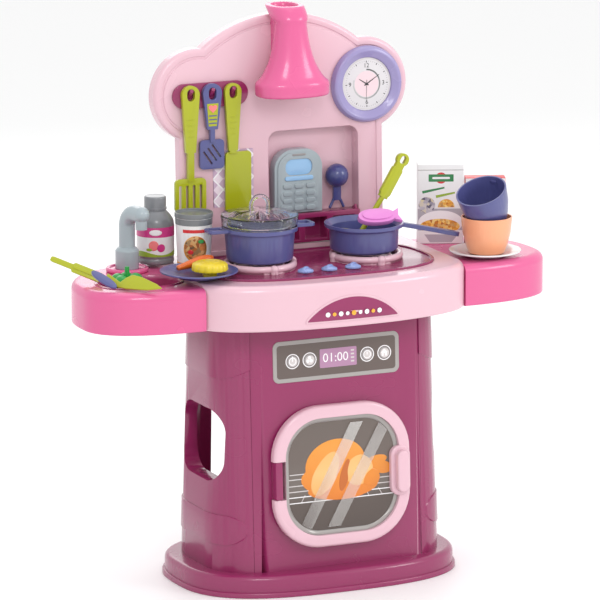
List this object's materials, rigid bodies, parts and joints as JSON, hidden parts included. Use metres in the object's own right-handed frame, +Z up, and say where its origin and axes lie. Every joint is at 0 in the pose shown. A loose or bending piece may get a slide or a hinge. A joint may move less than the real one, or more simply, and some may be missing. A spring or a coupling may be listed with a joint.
{
  "type": "toy kitchen",
  "caption": "Free-standing toy kitchen with a cabinet and oven door, winged counter with hob and sink, a backsplash with hood and clock, and play dishes and food.",
  "frame": {"origin": "on the floor, on the cabinet's centre line, under the middle of the plinth's ribs", "axes": "+X to the right seen from the front, +Y to the back, +Z up; the front faces -Y"},
  "size_m": [0.6272, 0.2518, 0.689],
  "materials": {
    "raspberry_plastic": "glossy moulded plastic",
    "light_pink_plastic": "glossy moulded plastic",
    "hot_pink_plastic": "glossy moulded plastic",
    "window_print": "printed film behind a clear skin",
    "sign_print": "printed film",
    "clear_plastic": "clear plastic",
    "silver_plastic": "plated plastic",
    "pin_steel": "drawn steel",
    "knob_blue_plastic": "glossy plastic",
    "grey_plastic": "glossy plastic",
    "lavender_plastic": "glossy plastic",
    "dial_print": "printed card",
    "tile_print": "printed film",
    "blue_violet_plastic": "glossy plastic",
    "dark_blue_plastic": "glossy plastic",
    "lime_plastic": "glossy plastic",
    "screen_print": "printed film",
    "lilac_plastic": "glossy plastic",
    "orange_plastic": "glossy plastic",
    "yellow_plastic": "glossy plastic",
    "green_plastic": "glossy plastic",
    "peach_plastic": "glossy plastic",
    "white_plastic": "glossy plastic",
    "bottle_plastic": "silver-grey plastic with a printed label",
    "can_print": "printed label",
    "can_lid_plastic": "grey plastic",
    "box_print": "printed card",
    "red_box_print": "printed card"
  },
  "bodies": {
    "kitchen": {"base_plinth": "raspberry_plastic", "left_column": "raspberry_plastic", "right_column": "raspberry_plastic", "front_panel": "raspberry_plastic", "hinge_block": "raspberry_plastic", "hinge_pin": "pin_steel", "control_panel": "sign_print", "counter_centre": "light_pink_plastic", "badge": "raspberry_plastic", "left_wing": "hot_pink_plastic", "right_wing": "hot_pink_plastic", "sink_basin": "hot_pink_plastic", "hob_plate": "raspberry_plastic", "left_burner": "light_pink_plastic", "right_burner": "light_pink_plastic", "left_burner_dish": "silver_plastic", "right_burner_dish": "silver_plastic", "faucet_ring": "hot_pink_plastic", "backsplash": "light_pink_plastic", "shelf_riser": "raspberry_plastic", "hood": "hot_pink_plastic", "clock_ring": "lavender_plastic", "clock_dial": "dial_print", "utensil_rail": "raspberry_plastic", "tile_sticker": "tile_print"},
    "door": {"oven_door": "light_pink_plastic", "oven_window": "window_print", "oven_handle": "light_pink_plastic"},
    "knob_left": {"left_knob": "knob_blue_plastic"},
    "knob_middle": {"middle_knob": "knob_blue_plastic"},
    "knob_right": {"right_knob": "knob_blue_plastic"},
    "tap": {"faucet": "grey_plastic"},
    "cooking_pot": {"pot": "blue_violet_plastic"},
    "lid": {"pot_lid": "clear_plastic"},
    "frying_pan": {"pan": "blue_violet_plastic"},
    "serving_ladle": {"ladle": "lime_plastic"},
    "fish": {"toy_fish": "lilac_plastic"},
    "dinner_plate": {"plate": "blue_violet_plastic"},
    "toy_carrot": {"carrot": "orange_plastic"},
    "toy_cake": {"cake": "yellow_plastic"},
    "sauce_bottle": {"bottle": "bottle_plastic"},
    "food_can": {"can": "can_print", "can_lid": "can_lid_plastic"},
    "tall_box": {"cereal_box": "box_print"},
    "short_box": {"red_box": "red_box_print"},
    "cup_saucer": {"saucer": "white_plastic"},
    "lower_cup": {"peach_cup": "peach_plastic"},
    "upper_cup": {"blue_cup": "blue_violet_plastic"},
    "toy_pepper": {"pepper": "green_plastic"},
    "fork": {"sink_fork": "lime_plastic"},
    "knife": {"sink_knife": "lime_plastic"},
    "spoon": {"sink_spoon": "blue_violet_plastic"},
    "phone": {"handset": "grey_plastic", "handset_screen": "screen_print"},
    "scoop": {"measuring_scoop": "dark_blue_plastic"},
    "slotted_turner": {"fork_spatula": "lime_plastic"},
    "small_turner": {"small_spatula": "blue_violet_plastic"},
    "chopper": {"cleaver": "lime_plastic"}
  },
  "joints": [
    {"name": "door_hinge", "type": "hinge", "parent": "kitchen", "child": "door", "pos_m": [-0.0839, -0.10832, 0.13941], "axis": [0, -0.0457, -0.999], "range_deg": [0, 110]},
    {"name": "left_knob_turn", "type": "hinge", "parent": "kitchen", "child": "knob_left", "pos_m": [-0.0315, -0.071, 0.387], "axis": [0, 0, 1], "range_deg": [-135, 135]},
    {"name": "middle_knob_turn", "type": "hinge", "parent": "kitchen", "child": "knob_middle", "pos_m": [0, -0.071, 0.387], "axis": [0, 0, 1], "range_deg": [-135, 135]},
    {"name": "right_knob_turn", "type": "hinge", "parent": "kitchen", "child": "knob_right", "pos_m": [0.0315, -0.071, 0.387], "axis": [0, 0, 1], "range_deg": [-135, 135]},
    {"name": "faucet_swivel", "type": "hinge", "parent": "kitchen", "child": "tap", "pos_m": [-0.216, 0.044, 0.4], "axis": [0, 0, 1], "range_deg": [-70, 45]},
    {"name": "pot_lift", "type": "slide", "parent": "kitchen", "child": "cooking_pot", "axis": [0, 0, 1], "range_m": [0, 0.05]},
    {"name": "lid_lift", "type": "slide", "parent": "cooking_pot", "child": "lid", "axis": [0, 0, 1], "range_m": [0, 0.03]},
    {"name": "pan_lift", "type": "slide", "parent": "kitchen", "child": "frying_pan", "axis": [0, 0, 1], "range_m": [0, 0.03]},
    {"name": "ladle_lift", "type": "slide", "parent": "frying_pan", "child": "serving_ladle", "axis": [0, 0, 1], "range_m": [0, 0.04]},
    {"name": "fish_lift", "type": "slide", "parent": "frying_pan", "child": "fish", "axis": [0, 0, 1], "range_m": [0, 0.04]},
    {"name": "plate_lift", "type": "slide", "parent": "kitchen", "child": "dinner_plate", "axis": [0, 0, 1], "range_m": [0, 0.03]},
    {"name": "carrot_lift", "type": "slide", "parent": "dinner_plate", "child": "toy_carrot", "axis": [0, 0, 1], "range_m": [0, 0.03]},
    {"name": "cake_lift", "type": "slide", "parent": "dinner_plate", "child": "toy_cake", "axis": [0, 0, 1], "range_m": [0, 0.03]},
    {"name": "bottle_lift", "type": "slide", "parent": "kitchen", "child": "sauce_bottle", "axis": [0, 0, 1], "range_m": [0, 0.04]},
    {"name": "can_lift", "type": "slide", "parent": "kitchen", "child": "food_can", "axis": [0, 0, 1], "range_m": [0, 0.04]},
    {"name": "tall_box_lift", "type": "slide", "parent": "kitchen", "child": "tall_box", "axis": [0, 0, 1], "range_m": [0, 0.05]},
    {"name": "short_box_lift", "type": "slide", "parent": "kitchen", "child": "short_box", "axis": [0, 0, 1], "range_m": [0, 0.05]},
    {"name": "saucer_lift", "type": "slide", "parent": "kitchen", "child": "cup_saucer", "axis": [0, 0, 1], "range_m": [0, 0.012]},
    {"name": "lower_cup_lift", "type": "slide", "parent": "cup_saucer", "child": "lower_cup", "axis": [0, 0, 1], "range_m": [0, 0.03]},
    {"name": "upper_cup_lift", "type": "slide", "parent": "lower_cup", "child": "upper_cup", "axis": [0, 0, 1], "range_m": [0, 0.04]},
    {"name": "pepper_lift", "type": "slide", "parent": "kitchen", "child": "toy_pepper", "axis": [0, 0, 1], "range_m": [0, 0.02]},
    {"name": "fork_lift", "type": "slide", "parent": "kitchen", "child": "fork", "axis": [0, 0, 1], "range_m": [0, 0.03]},
    {"name": "knife_lift", "type": "slide", "parent": "kitchen", "child": "knife", "axis": [0, 0, 1], "range_m": [0, 0.03]},
    {"name": "spoon_lift", "type": "slide", "parent": "kitchen", "child": "spoon", "axis": [0, 0, 1], "range_m": [0, 0.03]},
    {"name": "phone_slide", "type": "slide", "parent": "kitchen", "child": "phone", "axis": [0, -1, 0], "range_m": [0, 0.03]},
    {"name": "scoop_slide", "type": "slide", "parent": "kitchen", "child": "scoop", "axis": [0, -1, 0], "range_m": [0, 0.025]},
    {"name": "slotted_turner_unhook", "type": "slide", "parent": "kitchen", "child": "slotted_turner", "axis": [0, -0.766, 0.6428], "range_m": [0, 0.016]},
    {"name": "small_turner_unhook", "type": "slide", "parent": "kitchen", "child": "small_turner", "axis": [0, -0.766, 0.6428], "range_m": [0, 0.016]},
    {"name": "chopper_unhook", "type": "slide", "parent": "kitchen", "child": "chopper", "axis": [0, -0.766, 0.6428], "range_m": [0, 0.016]}
  ]
}
